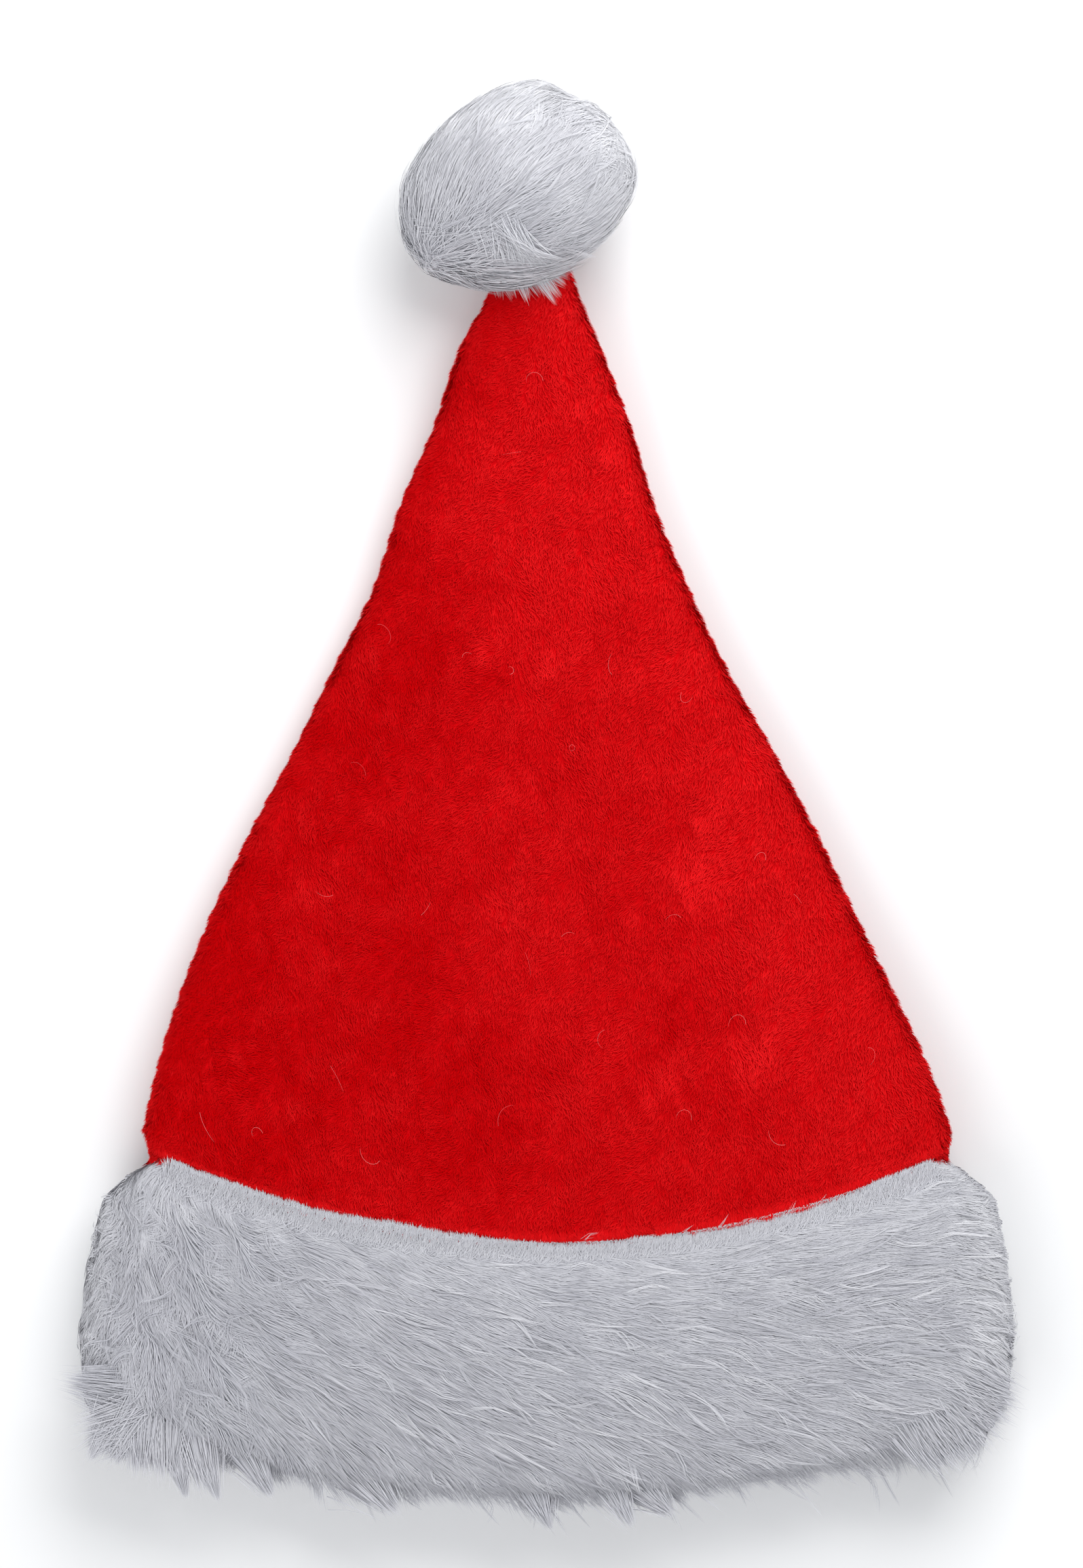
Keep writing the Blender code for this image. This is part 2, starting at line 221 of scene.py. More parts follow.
# The wisps of the ball that lie over the tip of the crown, in the same way
SEAT_WISPS = (
    Tuft(0.0096, 0.1746, 6.0, 0.022, 0.0030, 0.0006),
    Tuft(0.0084, 0.1730, 16.0, 0.024, 0.0034, 0.0004),
    Tuft(0.0072, 0.1708, 26.0, 0.024, 0.0030, 0.0004),
    Tuft(0.0059, 0.1686, 36.0, 0.024, 0.0026, 0.0004),
    Tuft(0.0042, 0.1648, 50.0, 0.026, 0.0026, 0.0005),
    Tuft(0.0028, 0.1626, 54.0, 0.026, 0.0020, 0.0003),
    Tuft(-0.0020, 0.1652, 58.0, 0.022, 0.0030, 0.0008),
    Tuft(-0.0063, 0.1634, 70.0, 0.020, 0.0030, 0.0006),
    Tuft(-0.0105, 0.1648, 66.0, 0.018, 0.0034, 0.0008),
    Tuft(-0.0151, 0.1652, 78.0, 0.016, 0.0034, 0.0008),
    Tuft(-0.0185, 0.1660, 84.0, 0.014, 0.0030, 0.0008),
)

# How far the red of the crown shows past its hem in the photograph, or falls short of it, along the hem
Hem = namedtuple("Hem", "x past")
VISIBLE_HEM = (
    Hem(-0.1300, -0.0010), Hem(-0.1030, -0.0017), Hem(-0.0764, -0.0012), Hem(-0.0498, -0.0026),
    Hem(-0.0232, -0.0012), Hem(0.0035, 0.0006), Hem(0.0301, -0.0002), Hem(0.0568, 0.0012),
    Hem(0.0834, 0.0014), Hem(0.1100, -0.0006),
)

# The photograph's frame: its height at a level over the table, and its middle
FRAME_HEIGHT, FRAME_LEVEL = 0.513, 0.03
FRAME_MIDDLE = (-0.0014, 0.0050)
CAMERA_HEIGHT = 3.2

# How much fur: the blades or hairs of each coat
FRONT_PILE, BACK_PILE, SEAM_PILE, HEM_PILE = 160000, 60000, 14000, 12000
FRONT_FUR, BACK_FUR, BALL_FUR = 60000, 22000, 24000
FRONT_LOCKS, BACK_LOCKS, BALL_LOCKS, LOCK_HAIRS = 1300, 240, 500, 8
EDGE_HAIRS, WISP_HAIRS, HEM_WISPS, HEM_FRINGE = 360, 60, 14, 12000
STRAY_HAIRS = 26

chance = np.random.default_rng(24)


# The hat's surfaces


def hat_section(edge_y):
    """The sections that meet the side folds at edge_y: smooth in the crown, straight in the cuff."""
    rows = np.array(CROWN_SECTIONS)
    ys = rows[:, 0]
    low = np.clip(np.searchsorted(ys, edge_y) - 1, 0, len(ys) - 2)
    step = (ys[low + 1] - ys[low])[:, None]
    t = np.clip((edge_y - ys[low])[:, None] / step, 0, 1)
    slopes = np.gradient(rows, ys, axis=0)
    smooth = (
        (2 * t**3 - 3 * t**2 + 1) * rows[low]
        + (t**3 - 2 * t**2 + t) * step * slopes[low]
        + (3 * t**2 - 2 * t**3) * rows[low + 1]
        + (t**3 - t**2) * step * slopes[low + 1]
    )
    share = ((HEM_Y - edge_y) / CUFF_HEIGHT)[:, None]
    straight = rows[0] + (np.array(MOUTH) - rows[0]) * share
    section = Section(*np.where((edge_y < HEM_Y)[:, None], straight, smooth).T)
    from_hem = np.where(edge_y > HEM_Y, edge_y - HEM_Y, (HEM_Y - edge_y) * 0.8)
    corner = np.clip(1 - from_hem / PINCH_REACH, 0, 1)
    return section._replace(half_width=section.half_width - HEM_PINCH * corner)


def outside(edge_y, out_z):
    """How far the top of the plush or underfur is from the hollow, where it faces this much up or down."""
    along = (HEM_Y - edge_y) / CUFF_HEIGHT
    front, side, back = (
        np.interp(along, [pile.along for pile in CUFF_PILE], [getattr(pile, face) for pile in CUFF_PILE])
        for face in ("front", "side", "back")
    )
    facing = np.where(out_z > 0, front, back)
    return np.where(along < 0, PLUSH, side + (facing - side) * np.sqrt(np.abs(out_z)))


def half_girth(edge_y):
    """The lengths along the front from the middle to a side fold, and round the fold."""
    reach = hat_section(edge_y).half_width - PLUSH - FOLD_RADIUS
    along = np.clip((HEM_Y - edge_y) / CUFF_HEIGHT, 0, 1)
    side = np.interp(along, [pile.along for pile in CUFF_PILE], [pile.side for pile in CUFF_PILE])
    return reach, math.pi * (FOLD_RADIUS + np.where(edge_y > HEM_Y, PLUSH, side))


def on_hat(edge_y, distance, lift, from_hollow=False):
    """Places over the hat's outside and the ways out of it there. distance runs round the hat from the
    middle of the front, to the left of the photograph if positive. lift is from the outside, or from the
    hollow."""
    section = hat_section(edge_y)
    reach, fold = half_girth(edge_y)
    half = 2 * reach + fold
    distance = (distance + half) % (2 * half) - half
    left = np.where(distance < 0, 1.0, -1.0)
    gone = np.abs(distance)
    front, folded = gone < reach, (gone >= reach) & (gone < reach + fold)
    face = np.where(front, 1.0, -1.0)
    u = np.where(front, gone / reach, np.where(folded, 1.0, (half - gone) / reach)) * left
    bulge = section.half_gap - FOLD_RADIUS
    turn = math.pi * (0.5 - np.clip((gone - reach) / fold, 0, 1))
    out = np.stack((2 * u * bulge / reach, 0 * u, face), axis=1)
    out[folded] = np.stack((np.cos(turn) * left, 0 * u, np.sin(turn)), axis=1)[folded]
    out /= np.linalg.norm(out, axis=1)[:, None]
    x = u * reach + np.where(folded, out[:, 0] * FOLD_RADIUS, 0)
    z = np.where(folded, out[:, 2] * FOLD_RADIUS, face * (FOLD_RADIUS + bulge * (1 - u * u)))
    y = section.edge_y - section.sag * (1 - u * u)
    place = np.stack((section.centre_x + x, y, section.mid_z + z), axis=1)
    stitches = STITCH_DEPTH * np.cos(math.tau * edge_y / STITCH_PITCH + left)
    stitches = stitches * np.clip((edge_y - HEM_Y) / 0.01, 0, 1)
    stand = lift if from_hollow else outside(edge_y, out[:, 2]) + stitches * (1 - np.abs(out[:, 2])) + lift
    across = place[:, 0] / section.half_width
    hold = np.clip(1 - across**2, 0, 1) * np.clip((edge_y - HEM_Y) / 0.05, 0, 1)
    place[:, 2] += np.where(out[:, 2] > 0, hold * wave_height(place[:, 0], place[:, 1]), 0)
    place += out * np.broadcast_to(stand, gone.shape)[:, None]
    past_mouth = np.clip(MOUTH.edge_y - edge_y, 0, None)
    place[:, 2] -= np.where(out[:, 2] > 0, MOUTH_DROOP * out[:, 2] * past_mouth, 0)
    return place + TO_MIDDLE, out


def on_front(x, y):
    """The edge_y and the distance of a place on the front of the hat, from above."""
    x, y = x - TO_MIDDLE[0], y - TO_MIDDLE[1]
    edge_y = np.array(y, dtype=float)
    for _ in range(4):
        section = hat_section(edge_y)
        u = np.clip((x - section.centre_x) / half_girth(edge_y)[0], -1, 1)
        edge_y = y + section.sag * (1 - u * u)
    return edge_y, section.centre_x - x


def wave_height(x, y):
    """How far the front of the crown is lifted at a place by the soft waves of its cloth."""
    total = 0.0
    for wave in CROWN_WAVES:
        heading = math.radians(wave.heading)
        travel = x * math.cos(heading) + y * math.sin(heading)
        total = total + wave.height * np.sin(math.tau * travel / wave.length + wave.phase)
    return total


def on_pompom(way_x, way_y, way_z, lift):
    """Places over the pompom's core, in these directions from its middle, and the ways out of it there."""
    way_out = np.stack((way_x, way_y, way_z), axis=1)
    way_out = way_out / np.linalg.norm(way_out, axis=1)[:, None]
    c, s = math.cos(POMPOM_TILT), math.sin(POMPOM_TILT)
    turn = np.array(((c, s, 0), (-s, c, 0), (0, 0, 1)))
    out = way_out / POMPOM_RADII @ turn
    place = way_out * (POMPOM_RADII + np.asarray(lift)[:, None]) @ turn
    angle = np.degrees(np.arctan2(place[:, 1], place[:, 0]))
    reach = np.interp(angle, *np.array(BALL_OUTLINE).T, period=360)
    place[:, :2] *= (1 + (reach - 1) * np.hypot(way_out[:, 0], way_out[:, 1]) ** 2)[:, None]
    return place + POMPOM_CENTRE + TO_MIDDLE, out / np.linalg.norm(out, axis=1)[:, None]


def over_seat(x, y, lift):
    """Places this far above the ball or the crown's tip, whichever is higher there, and the way up."""
    flat = np.stack((x, y), axis=1) - (POMPOM_CENTRE + TO_MIDDLE)[:2]
    inside = 1 - ((flat / POMPOM_RADII[:2]) ** 2).sum(axis=1)
    ball = POMPOM_CENTRE[2] + POMPOM_RADII[2] * np.sqrt(np.clip(inside, 0, 1))
    crown = on_hat(*on_front(x, y), 0.0)[0][:, 2]
    places = np.stack((x, y, np.where(inside > 0, np.maximum(ball, crown), crown) + lift), axis=1)
    return places, np.tile((0.0, 0.0, 1.0), (len(x), 1))


def drift(x, y, size, seed):
    """A smooth wandering from -1 to 1 over a surface, with features of about this size."""
    ways = np.random.default_rng(seed)
    total = 0.0
    for _ in range(7):
        heading, phase, scale = ways.uniform(0, math.tau), ways.uniform(0, math.tau), ways.uniform(0.6, 1.7)
        travel = (x * math.cos(heading) + y * math.sin(heading)) / (size * scale * 2)
        total = total + np.sin(math.tau * travel + phase)
    return total / 4.2


def closeness(patches, x, y, ragged=1.0):
    """How far places lie in the nearest of some patches, from 0 well outside to 1 in the middle."""
    total = np.zeros(len(x))
    for patch in patches:
        away = ((x - patch.x) ** 2 + (y - patch.y) ** 2) / (patch.size * ragged) ** 2
        total = np.maximum(total, np.exp(-away))
    return total


# Meshes


def new_piece(name, places, faces, material, node):
    """A smooth mesh piece that rides on the hat and stands for a node of the CAD model."""
    mesh = bpy.data.meshes.new(name)
    mesh.from_pydata(places, [], faces)
    mesh.shade_smooth()
    return finish_piece(name, mesh, material, node)


def finish_piece(name, mesh, material, node):
    """Puts the mesh in the scene with its material, riding on the hat in place of a node."""
    mesh.materials.append(material)
    piece = bpy.data.objects.new(name, mesh)
    bpy.context.scene.collection.objects.link(piece)
    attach(piece, "root")
    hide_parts(node)
    return piece


def tube_faces(rings, count, closed):
    """Faces between rings of points, and from the last ring back to the first if closed."""
    faces = []
    for ring in range(rings if closed else rings - 1):
        low, high = ring * count, (ring + 1) % rings * count
        for i in range(count):
            j = (i + 1) % count
            faces.append((low + i, low + j, high + j, high + i))
    return faces


def ribbons(name, places, outs, width, tone, shape, softness, material, node):
    """One mesh of narrow ribbons, each along a row of places, that ends in a point.

    tone is a number for each ribbon that its finish reads, and shape the share of its width at each place.
    Every ribbon has a square of its own on the texture map.
    """
    count, steps = places.shape[:2]
    tangent = np.gradient(places, axis=1)
    side = np.cross(outs, tangent)
    side /= np.linalg.norm(side, axis=2)[:, :, None] + 1e-12
    twist = chance.normal(0, 0.4, count)[:, None, None]
    side = side * np.cos(twist) + outs * np.sin(twist)
    facing = np.cross(tangent, side)
    facing /= np.linalg.norm(facing, axis=2)[:, :, None] + 1e-12
    facing = outs * softness + facing * (1 - softness)
    facing[:, :, 2] += RIM_LIGHT * (1 - np.abs(outs[:, :, 2]))
    half = side * (width[:, None] * np.asarray(shape)[None, :] / 2)[:, :, None]
    pairs = np.stack((places - half, places + half), axis=2)[:, :-1].reshape(count, -1, 3)
    points = np.concatenate((pairs, places[:, -1:]), axis=1)
    each = points.shape[1]

    quads = [(2 * k + 1, 2 * k, 2 * k + 2, 2 * k + 3) for k in range(steps - 2)]
    corners = [corner for quad in quads for corner in quad] + [each - 2, each - 3, each - 1]
    sizes = np.array([4] * len(quads) + [3])
    loops = (np.array(corners)[None, :] + each * np.arange(count)[:, None]).ravel()
    mesh = bpy.data.meshes.new(name)
    mesh.vertices.add(count * each)
    mesh.vertices.foreach_set("co", points.astype(np.float32).ravel())
    mesh.loops.add(len(loops))
    mesh.loops.foreach_set("vertex_index", loops.astype(np.int32))
    mesh.polygons.add(count * len(sizes))
    totals = np.tile(sizes, count)
    mesh.polygons.foreach_set("loop_start", (np.cumsum(totals) - totals).astype(np.int32))
    mesh.polygons.foreach_set("loop_total", totals.astype(np.int32))

    across = math.ceil(math.sqrt(count))
    column, row = np.arange(count) % across, np.arange(count) // across
    u = np.array([0.12, 0.88] * (steps - 1) + [0.5])
    v = np.array([0.10 + 0.8 * (k // 2) / (steps - 1) for k in range(each - 1)] + [0.90])
    spots = np.stack((column[:, None] + u, row[:, None] + v), axis=2).reshape(-1, 2) / across
    layer = mesh.uv_layers.new(name="OFBake")
    layer.data.foreach_set("uv", spots[loops].astype(np.float32).ravel())
    reach = np.tile(np.append(np.repeat(np.arange(steps - 1), 2), steps - 1) / (steps - 1), count)
    for title, values in (("reach", reach), ("tone", np.repeat(tone, each))):
        mesh.attributes.new(title, "FLOAT", "POINT").data.foreach_set("value", values.astype(np.float32))
    mesh.update()
    mesh.shade_smooth()
    facing = np.concatenate((np.repeat(facing[:, :-1], 2, axis=1), facing[:, -1:]), axis=1).reshape(-1, 3)
    mesh.normals_split_custom_set_from_vertices(facing / np.linalg.norm(facing, axis=1)[:, None])
    return finish_piece(name, mesh, material, node)


def even_points(count, seed):
    """Points spread evenly over a unit square."""
    steps = np.arange(count) + seed
    scatter = np.random.default_rng(seed).uniform(-0.3, 0.3, (2, count)) / math.sqrt(count)
    return (steps * EVEN_STEPS[0] + scatter[0]) % 1, (steps * EVEN_STEPS[1] + scatter[1]) % 1


def gathered(paths, guides, hold):
    """The paths, each drawn by hold to its nearest guide's, but not at the root, and which that is."""
    tree = KDTree(len(guides))
    for i, guide in enumerate(guides):
        tree.insert(guide[0, :3], i)
    tree.balance()
    near = np.array([tree.find(path[0, :3])[1] for path in paths])
    shares = np.linspace(0, 1, paths.shape[1]) ** 1.4
    return paths + (guides[near] - paths) * (shares * hold)[None, :, None], near


def lock_hairs(locks, spread, each, end=0.07):
    """So many hairs round the path of each lock, apart by the spreads at its root and by this share of
    them, or these shares, at its tip."""
    paths = np.repeat(locks, each, axis=0)
    shares = np.linspace(0, 1, paths.shape[1])[None, :, None]
    apart = chance.normal(0, 1, (len(paths), 1, paths.shape[2])) * spread
    stretch = 1.04 - 0.32 * chance.uniform(0, 1, (len(paths), 1, 1)) ** 2
    return paths[:, :1] + (paths - paths[:, :1]) * stretch + apart * (1 - (1 - end) * shares**0.8)


# Finishes


class Number:
    """A number that varies over a surface. Arithmetic on it adds Math nodes to its finish."""

    def __init__(self, finish, socket):
        self.finish, self.socket = finish, socket

    def calculated(self, operation, first, second):
        return self.finish.node("ShaderNodeMath", {"operation": operation}, {0: first, 1: second})

    def __add__(self, other):
        return self.calculated("ADD", self, other)

    def __mul__(self, other):
        return self.calculated("MULTIPLY", self, other)

    __radd__, __rmul__ = __add__, __mul__


class Finish:
    """A material under construction."""

    def __init__(self, name, **shader_values):
        self.material = bpy.data.materials.new(name)
        self.material.use_nodes = True
        self.tree = self.material.node_tree
        self.shader = self.tree.nodes["Principled BSDF"]
        for socket, value in shader_values.items():
            self.shader.inputs[socket.replace("_", " ")].default_value = value

    def node(self, kind, settings, values, output=0):
        """Adds a node with its settings and its sockets' values or links, and gives one of its outputs."""
        made = self.tree.nodes.new(kind)
        for name, setting in settings.items():
            setattr(made, name, setting)
        for socket, value in values.items():
            self.give(made.inputs[socket], value)
        return Number(self, made.outputs[output])

    def give(self, socket, value):
        """Links a varying number to a socket, or sets the socket to a plain value."""
        if isinstance(value, Number):
            self.tree.links.new(value.socket, socket)
        else:
            socket.default_value = value

    def feed(self, **values):
        """Feeds the shader's own sockets."""
        for name, value in values.items():
            self.give(self.shader.inputs[name.replace("_", " ")], value)

    def attribute(self, name):
        """A number that the mesh carries at its points."""
        return self.node("ShaderNodeAttribute", {"attribute_name": name}, {}, "Fac")

    def spots(self):
        """The place on the object."""
        return self.node("ShaderNodeTexCoord", {}, {}, "Object")

    def noise(self, scale, detail=3.0, roughness=0.55):
        """Cloudy noise over the object, from 0 to 1, with this many features in a metre."""
        sockets = {"Vector": self.spots(), "Scale": scale, "Detail": detail, "Roughness": roughness}
        return self.node("ShaderNodeTexNoise", {}, sockets)

    def spread(self, value, low, high):
        """The number stretched so that low becomes 0 and high becomes 1, and no further."""
        return self.node("ShaderNodeMapRange", {}, {"Value": value, "From Min": low, "From Max": high})

    def mix(self, share, first, second):
        """A colour between two others. The node's sockets share their names, so they go by number here."""
        settings = {"data_type": "RGBA", "clamp_factor": True}
        return self.node("ShaderNodeMix", settings, {0: share, 6: first, 7: second}, 2)

    def bump(self, height, strength, depth):
        """A normal bent by a height, which is in units of depth."""
        return self.node("ShaderNodeBump", {}, {"Strength": strength, "Distance": depth, "Height": height})


def colour(red, green, blue):
    """A colour for a socket, from its linear parts."""
    return (red, green, blue, 1.0)


def red_pile_finish():
    """Plush pile: deep red at the roots, a painted shade among the blades, and brighter towards the tips. Its
    tone is partly random and partly painted light, such as highlights where the nap parts.
    """
    glow = {"Sheen_Weight": 0.35, "Sheen_Roughness": 0.4, "Sheen_Tint": colour(1.0, 0.02, 0.025)}
    finish = Finish("red_plush_pile", Roughness=0.9, Specular_IOR_Level=0.02, **glow)
    reach, tone = finish.attribute("reach"), finish.attribute("tone")
    # The darker roots are painted shade among the blades
    root = finish.mix(tone, colour(0.50, 0.0003, 0.0016), colour(0.70, 0.0034, 0.0055))
    tip = finish.mix(tone, colour(0.64, 0.0003, 0.0020), colour(0.98, 0.0160, 0.0190))
    finish.feed(Base_Color=finish.mix(reach, root, tip))
    return finish.material


def red_cloth_finish():
    """The knitted ground of the plush, seen between the blades of pile and inside the crown."""
    finish = Finish("red_plush_ground", Roughness=0.95, Specular_IOR_Level=0.03)
    cloudy, fine = finish.noise(60.0, 5.0, 0.65), finish.noise(900.0, 2.0)
    shade = finish.spread(cloudy * 0.5 + fine * 0.5, 0.3, 0.7)
    finish.feed(
        Base_Color=finish.mix(shade, colour(0.54, 0.0010, 0.0030), colour(0.68, 0.0022, 0.0050)),
        Normal=finish.bump(fine + cloudy, 0.5, 0.0005),
    )
    return finish.material


def white_fur_finish():
    """Long fur: cool grey roots, a painted shade among the hairs, and clean white tips. Each hair's tone
    makes it a little lighter or darker, partly at random and partly as painted light.
    """
    finish = Finish("white_faux_fur", Roughness=0.6, Specular_IOR_Level=0.15)
    reach, tone = finish.attribute("reach"), finish.attribute("tone")
    # The greyer, darker roots are painted shade among the hairs
    root = finish.mix(tone, colour(0.47, 0.47, 0.515), colour(0.70, 0.70, 0.735))
    tip = finish.mix(tone, colour(0.51, 0.51, 0.555), colour(0.94, 0.94, 0.96))
    finish.feed(Base_Color=finish.mix(reach, root, tip))
    return finish.material


def white_backing_finish():
    """The knitted ground of the fur: off-white, with the fine ribs of its stitches."""
    finish = Finish("white_fur_backing", Roughness=0.85, Sheen_Weight=0.2)
    wales = finish.node(
        "ShaderNodeTexWave",
        {"wave_type": "BANDS", "bands_direction": "X"},
        {"Vector": finish.spots(), "Scale": 180.0, "Distortion": 1.2, "Detail": 2.0},
    )
    fine = finish.noise(1100.0, 2.0)
    finish.feed(
        Base_Color=finish.mix(fine, colour(0.54, 0.54, 0.585), colour(0.64, 0.64, 0.68)),
        Normal=finish.bump(wales * 0.7 + fine * 0.5, 0.5, 0.0005),
    )
    return finish.material


def stray_hair_finish():
    """A loose pale hair, thinner at its ends."""
    finish = Finish("stray_pale_hair", Roughness=0.4)
    tone = finish.attribute("tone")
    finish.feed(Base_Color=finish.mix(tone, colour(0.78, 0.06, 0.07), colour(0.90, 0.26, 0.25)))
    return finish.material


# The crown


def ring_of(edge_y, lift, count, from_hollow=False):
    """A ring of places round the hat."""
    level = np.full(1, edge_y)
    half = sum(half_girth(level) * np.array([[2], [1]]))[0]
    distances = (np.arange(count) / count * 2 - 1) * half
    return on_hat(np.full(count, edge_y), distances, np.full(count, lift), from_hollow)[0]


def make_crown_cloth(material):
    """The plush's ground: outside, inside and the hem between them, closed at the tip."""
    count, bottom = 200, HEM_Y + 0.0004
    inner = [ring_of(y, 0.0, count, from_hollow=True) for y in np.linspace(TIP_Y, bottom, 34)]
    outer = [ring_of(y, -GROUND_DEPTH, count) for y in np.linspace(bottom, TIP_Y, 90)]
    end = outer[-1].mean(axis=0)
    cap = [end + (outer[-1] - end) * share + (0, 0.0022, 0) for share in (0.9, 0.4)]
    rings = inner + outer + cap
    faces = tube_faces(len(rings), count, closed=False)
    faces.append(tuple(reversed(range(count))))
    faces.append(tuple(range((len(rings) - 1) * count, len(rings) * count)))
    return new_piece("crown_cloth", np.concatenate(rings), faces, material, "crown")


def pile_blades(edge_y, distance, heading, length, rise, tone):
    """Short straight blades that lean over the crown, gathered in little tufts. heading is 0 down the hat,
    and positive to the left of the photograph."""
    count = len(edge_y)
    roots = np.stack((edge_y, distance, np.full(count, -PILE_ROOT_DEPTH)), axis=1)
    lean = np.stack((-length * np.cos(heading), length * np.sin(heading), rise + PILE_ROOT_DEPTH), axis=1)
    paths = np.stack((roots, roots + lean), axis=1)
    tufts = chance.choice(count, count // 14, replace=False)
    paths, near = gathered(paths, paths[tufts], 0.3)
    tone = tone + chance.uniform(-0.08, 0.12, len(tufts))[near] + chance.uniform(-0.08, 0.08, count)
    return paths, np.clip(tone, 0, 1)


def crown_roots(count, seed, back):
    """Even roots over the front or the back of the crown, as dense where it is narrow as at its hem."""
    levels = np.linspace(HEM_Y, TIP_Y - 0.004, 400)
    reach, fold = half_girth(levels)
    room = np.cumsum(2 * reach + fold)
    first, second = even_points(count, seed)
    edge_y = np.interp(first * room[-1], room, levels)
    return edge_y, round_to(edge_y, second * 2 - 1, back)


def round_to(edge_y, share, back):
    """The distance round the hat for a share from -1 to 1 of its front or its back, with half of each side
    fold."""
    reach, fold = half_girth(edge_y)
    distance = share * (reach + fold / 2)
    return np.where(back, 2 * reach + fold - distance, distance)


def make_crown_pile(name, count, back, material):
    """The short pile over the crown's front or back, with the tufts of its side seams and its hem."""
    seed = 40 + 10 * back
    edge_y, distance = crown_roots(count, seed, back)
    place = on_hat(edge_y, distance, 0.0)[0]
    parting_and_highlight = np.zeros(count)
    if not back:
        parting_and_highlight = closeness(PARTINGS, place[:, 0], place[:, 1], 1 + 0.5 * drift(edge_y, distance, 0.004, 77))
        parting_and_highlight = parting_and_highlight * (0.75 + 0.45 * drift(edge_y * 0.6, distance * 1.7, 0.003, 78))
    heading = 0.35 + 0.8 * drift(edge_y, distance, 0.020, seed)
    heading = heading + 0.5 * drift(edge_y, distance, 0.006, seed + 1) + chance.normal(0, 0.5, count)
    length = chance.uniform(0.0012, 0.0030, count) * (1 + 0.6 * parting_and_highlight)
    rise = chance.uniform(0.0002, 0.0008, count) + 0.0002 * drift(edge_y, distance, 0.007, seed + 2)
    tone = 0.32 + 0.16 * drift(edge_y, distance, 0.035, seed + 3)
    tone = tone + 0.13 * drift(edge_y, distance, 0.009, seed + 4)
    # Painted highlight: the tone is raised where the nap parts, as well as the blades being longer there
    tone = tone + 0.10 * drift(edge_y, distance, 0.003, seed + 5) + 0.44 * parting_and_highlight
    # Painted light: paler towards the right end of the front (negative distance), mirrored on the back, and
    # paler towards the tip
    tone = tone - 0.28 * distance / half_girth(edge_y)[0] * (1 - 2 * back)
    tone = tone + 0.24 * np.clip((edge_y + 0.03) / 0.18, 0, 1)
    # Painted highlight: paler over the last centimetre above the hem
    tone = tone + 0.18 * np.clip(1 - (edge_y - HEM_Y) / 0.010, 0, 1)
    blades = [pile_blades(edge_y, distance, heading, length, rise, tone)]

    # Tufts along the side seams
    count = SEAM_PILE // (1 + back)
    edge_y = chance.uniform(HEM_Y, TIP_Y - 0.01, count)
    side = chance.choice((-1.0, 1.0), count)
    distance = round_to(edge_y, side * (1 - np.abs(chance.normal(0, 0.02, count))), back)
    heading = side * chance.normal(0.5, 0.5, count)
    length = chance.uniform(0.0015, 0.0034, count)
    rise = chance.uniform(0.0002, 0.0012, count)
    blades.append(pile_blades(edge_y, distance, heading, length, rise, chance.uniform(0.2, 0.55, count)))

    # The pile that hangs over the top of the cuff
    count = HEM_PILE
    share, above = chance.uniform(-1, 1, count), chance.uniform(0.0010, 0.0042, count)
    edge_y = HEM_Y + above
    distance = round_to(edge_y, share, back)
    heading = 0.5 * drift(distance, 0 * distance, 0.009, seed + 6) + chance.normal(0, 0.35, count)
    past = np.interp(-distance, *np.array(VISIBLE_HEM).T) * (1 - back)
    past = past + 0.0005 * drift(distance, 0 * distance, 0.004, seed + 7) + chance.normal(0, 0.0004, count)
    length = np.clip(above + past, 0.0010, 0.0060) * np.clip((1 - np.abs(share)) / 0.06, 0.35, 1)
    rise = chance.uniform(0.0003, 0.0012, count)
    # The pile over the hem has a paler tone: painted highlight
    blades.append(pile_blades(edge_y, distance, heading, length, rise, chance.uniform(0.35, 0.75, count)))

    paths = np.concatenate([paths for paths, tone in blades])
    tone = np.concatenate([tone for paths, tone in blades])
    width = chance.uniform(0.00035, 0.00065, len(paths))
    return coat(name, paths, on_hat, width, tone, material, "crown", "red_plush")


def coat(name, paths, surface, width, tone, material, node, slot):
    """A piece of ribbons along paths that are given in the numbers that the surface function takes."""
    count, steps = paths.shape[:2]
    flat = paths.reshape(count * steps, -1)
    places, outs = surface(*flat.T)
    floor = 0.0003 + 0.0008 * chance.uniform(0, 1, count)
    places[:, 2] = np.maximum(places[:, 2], np.repeat(floor, steps))
    shape = np.sqrt(1 - np.linspace(0.0, 1.0, steps) ** 2)
    places, outs = places.reshape(count, steps, 3), outs.reshape(count, steps, 3)
    # Blades and hairs where the coat faces sideways, at the rim, are painted paler: painted rim light
    tone = np.clip(tone + RIM_PAINTED_LIGHT * (1 - np.abs(outs[:, -1, 2])), 0, 1)
    softness = PILE_SOFTNESS if slot == "red_plush" else FUR_SOFTNESS
    return ribbons(name, places, outs, width, tone, shape, softness, material, node)


def make_stray_hairs(material):
    """A few pale hairs that have come loose and lie curled on the front of the crown."""
    edge_y, distance = crown_roots(STRAY_HAIRS, 91, False)
    edge_y = np.clip(edge_y, HEM_Y + 0.02, TIP_Y - 0.04)
    distance = distance * 0.85
    heading = chance.uniform(0, math.tau, STRAY_HAIRS)
    length = chance.uniform(0.004, 0.010, STRAY_HAIRS)
    lift = np.full(STRAY_HAIRS, 0.0014)
    paths = hat_paths(edge_y, distance, length, lift, heading, chance.normal(0, 3.0, STRAY_HAIRS), 9)
    paths[:, :, 2] = 0.0009 + 0.0005 * np.sin(np.linspace(0, 5, 9)[None, :] + heading[:, None])
    width = chance.uniform(0.00005, 0.00009, STRAY_HAIRS)
    tone = chance.uniform(0, 1, STRAY_HAIRS)
    return coat("stray_hairs", paths, on_hat, width, tone, material, "crown", "red_plush")


# The cuff


